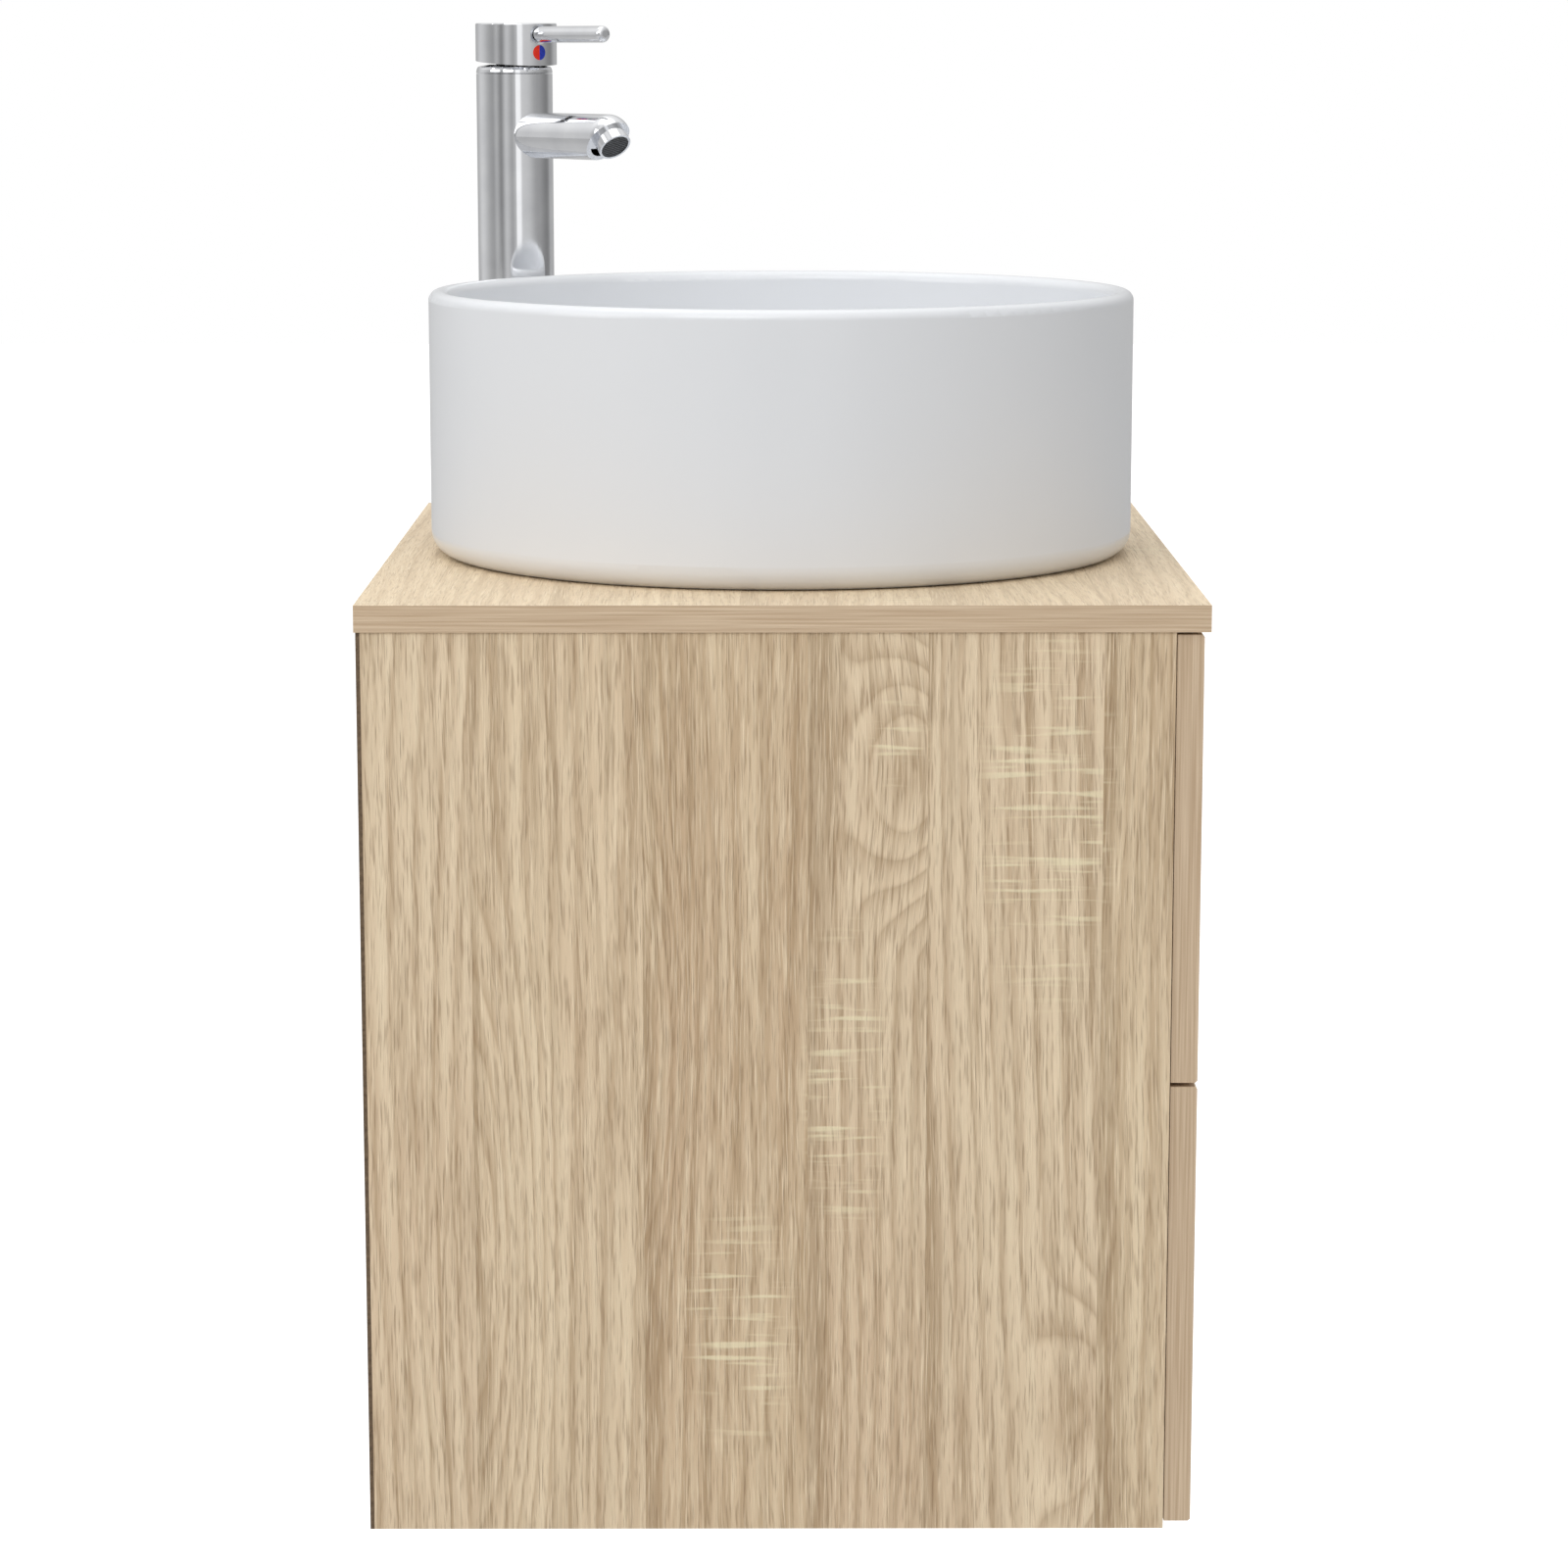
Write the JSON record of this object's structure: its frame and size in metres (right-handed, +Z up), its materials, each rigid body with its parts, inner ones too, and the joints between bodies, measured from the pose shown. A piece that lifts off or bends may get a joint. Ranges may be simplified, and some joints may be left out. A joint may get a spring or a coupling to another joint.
{
  "type": "wall-hung vanity with vessel basin",
  "caption": "Wall-hung oak-look vanity with drawers, a round white vessel basin on top and a tall chrome single-lever mixer at its rear right corner.",
  "frame": {"origin": "middle of the vanity's width and depth, at the level of the side panels' lower edges", "axes": "+Z up; +Y towards the wall, so the drawers open along -Y; +X to the right of a person who stands in front"},
  "size_m": [0.45, 0.4, 0.7184],
  "materials": {
    "oak_board": "oak-look melamine, brushed matt",
    "oak_top": "oak-look laminate, matt",
    "drawer_board": "oak-look melamine, matt",
    "drawer_bottom": "white lacquered fibreboard, matt",
    "back_sheet": "bare dark fibreboard",
    "beech": "turned beech",
    "zinc": "zinc plated, satin",
    "screw_steel": "bright zinc plated",
    "ceramic": "glossy white glaze",
    "chrome": "polished",
    "brass": "machined",
    "rubber": "matt black",
    "white_plastic": "moulded, semi gloss",
    "mesh_plastic": "dark grey moulded grid",
    "red_plastic": "glossy red",
    "blue_plastic": "glossy blue"
  },
  "bodies": {
    "cabinet": {"countertop": "oak_top", "side_left": "oak_board", "side_right": "oak_board", "bottom_panel": "oak_board", "rail_top": "oak_board", "rail_low": "oak_board", "stretcher": "oak_board", "back_sheet": "back_sheet", "dowels": "beech", "cam_locks": "zinc", "top_angles": "zinc", "panel_screws": "screw_steel", "cabinet_rails": "zinc", "basin": "ceramic", "waste_seals": "rubber", "waste_body": "chrome", "waste_nut": "brass", "click_cartridge": "brass", "tailpiece": "chrome", "slip_nuts": "white_plastic", "trap_body": "white_plastic", "trap_cup": "white_plastic", "outlet_pipe": "white_plastic", "foot_gasket": "rubber", "mixer_foot": "chrome", "mixer_body": "chrome", "spout": "chrome", "aerator_ring": "chrome", "aerator_mesh": "mesh_plastic", "cartridge": "white_plastic", "cartridge_nut": "brass", "dome_ring": "chrome", "fixing_stud": "screw_steel", "clamp_gasket": "rubber", "clamp_plate": "zinc", "clamp_nut": "brass"},
    "handle_swivel": {"cartridge_rotor": "white_plastic", "lever_pin": "screw_steel"},
    "handle": {"handle_cap": "chrome", "lever_stem": "brass", "lever_rod": "chrome", "grub_screw": "screw_steel", "indicator_red": "red_plastic", "indicator_blue": "blue_plastic"},
    "plug": {"plug_cap": "chrome", "plug_stem": "brass"},
    "upper_mid": {"upper_mid_rails": "zinc"},
    "lower_mid": {"lower_mid_rails": "zinc"},
    "upper_drawer": {"upper_front": "oak_board", "upper_sides": "drawer_board", "upper_back_boards": "drawer_board", "upper_bottom": "drawer_bottom", "upper_drawer_rails": "zinc", "upper_screws": "screw_steel"},
    "lower_drawer": {"lower_front": "oak_board", "lower_sides": "drawer_board", "lower_back": "drawer_board", "lower_bottom": "drawer_bottom", "lower_drawer_rails": "zinc", "lower_screws": "screw_steel"}
  },
  "joints": [
    {"name": "upper_drawer_slide", "type": "slide", "parent": "cabinet", "child": "upper_drawer", "axis": [0, -1, 0], "range_m": [0, 0.26]},
    {"name": "upper_mid_slide", "type": "slide", "parent": "cabinet", "child": "upper_mid", "axis": [0, -1, 0], "range_m": [0, 0.13]},
    {"name": "lower_drawer_slide", "type": "slide", "parent": "cabinet", "child": "lower_drawer", "axis": [0, -1, 0], "range_m": [0, 0.26]},
    {"name": "lower_mid_slide", "type": "slide", "parent": "cabinet", "child": "lower_mid", "axis": [0, -1, 0], "range_m": [0, 0.13]},
    {"name": "handle_turn", "type": "hinge", "parent": "cabinet", "child": "handle_swivel", "pos_m": [0.17, 0.1453, 0.6913], "axis": [0, 0, 1], "range_deg": [-45, 45]},
    {"name": "handle_lift", "type": "hinge", "parent": "handle_swivel", "child": "handle", "pos_m": [0.17315, 0.14776, 0.693], "axis": [-0.6157, 0.788, 0], "range_deg": [0, 12]},
    {"name": "plug_push", "type": "slide", "parent": "cabinet", "child": "plug", "axis": [0, 0, -1], "range_m": [0, 0.006], "stiffness_N_per_m": 400, "springref_m": -0.006}
  ],
  "couplings": [
    {"joint": "upper_mid_slide", "follows": "upper_drawer_slide", "ratio": 0.5},
    {"joint": "lower_mid_slide", "follows": "lower_drawer_slide", "ratio": 0.5}
  ]
}
